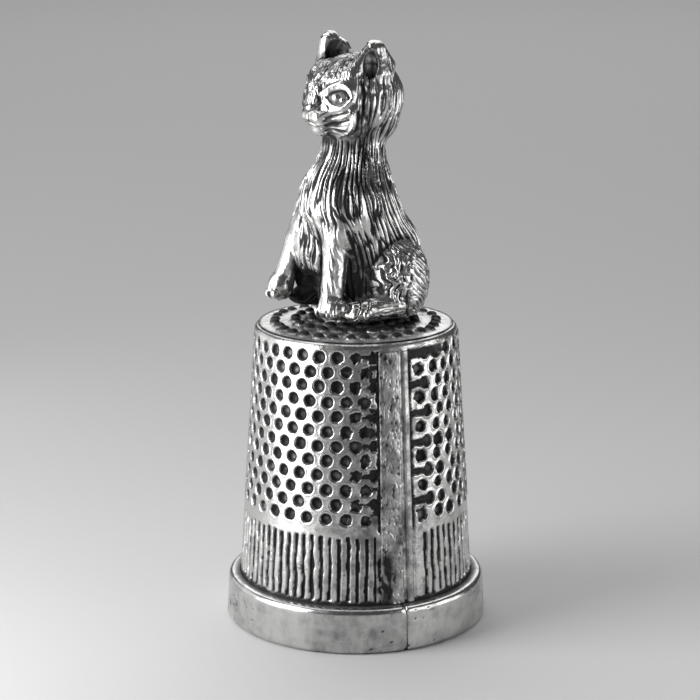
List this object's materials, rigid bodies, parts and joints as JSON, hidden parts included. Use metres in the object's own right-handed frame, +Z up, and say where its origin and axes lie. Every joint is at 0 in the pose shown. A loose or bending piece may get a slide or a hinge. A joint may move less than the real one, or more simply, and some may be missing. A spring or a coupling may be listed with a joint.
{
  "type": "thimble",
  "caption": "Pewter thimble with dimpled and reeded sides, a plain band at the mouth and a seated cat figure soldered on the crown.",
  "frame": {"origin": "on the thimble's axis, in the plane of the mouth that it stands on", "axes": "+Z up along the axis from the mouth to the cat; -Y is the way the cat looks; +X is the cat's left, near the seam"},
  "size_m": [0.02, 0.02, 0.0447],
  "materials": {
    "sleeve_pewter": "antiqued pewter, polished high points, blackened dimples and reeding",
    "band_pewter": "antiqued pewter, rubbed bright, fine scratches",
    "seam_solder": "grey solder strip, pitted and darkened",
    "crown_pewter": "antiqued pewter, blackened dimples",
    "cat_pewter": "cast pewter, polished fur ridges over black recesses",
    "fixing_solder": "dull dark solder"
  },
  "bodies": {
    "root": {"thimble_wall": "sleeve_pewter", "mouth_band": "band_pewter", "seam_strap": "seam_solder", "seam_bead": "seam_solder", "crown_disc": "crown_pewter", "cat_figure": "cat_pewter", "figure_solder": "fixing_solder", "figure_peg": "fixing_solder"}
  },
  "joints": []
}
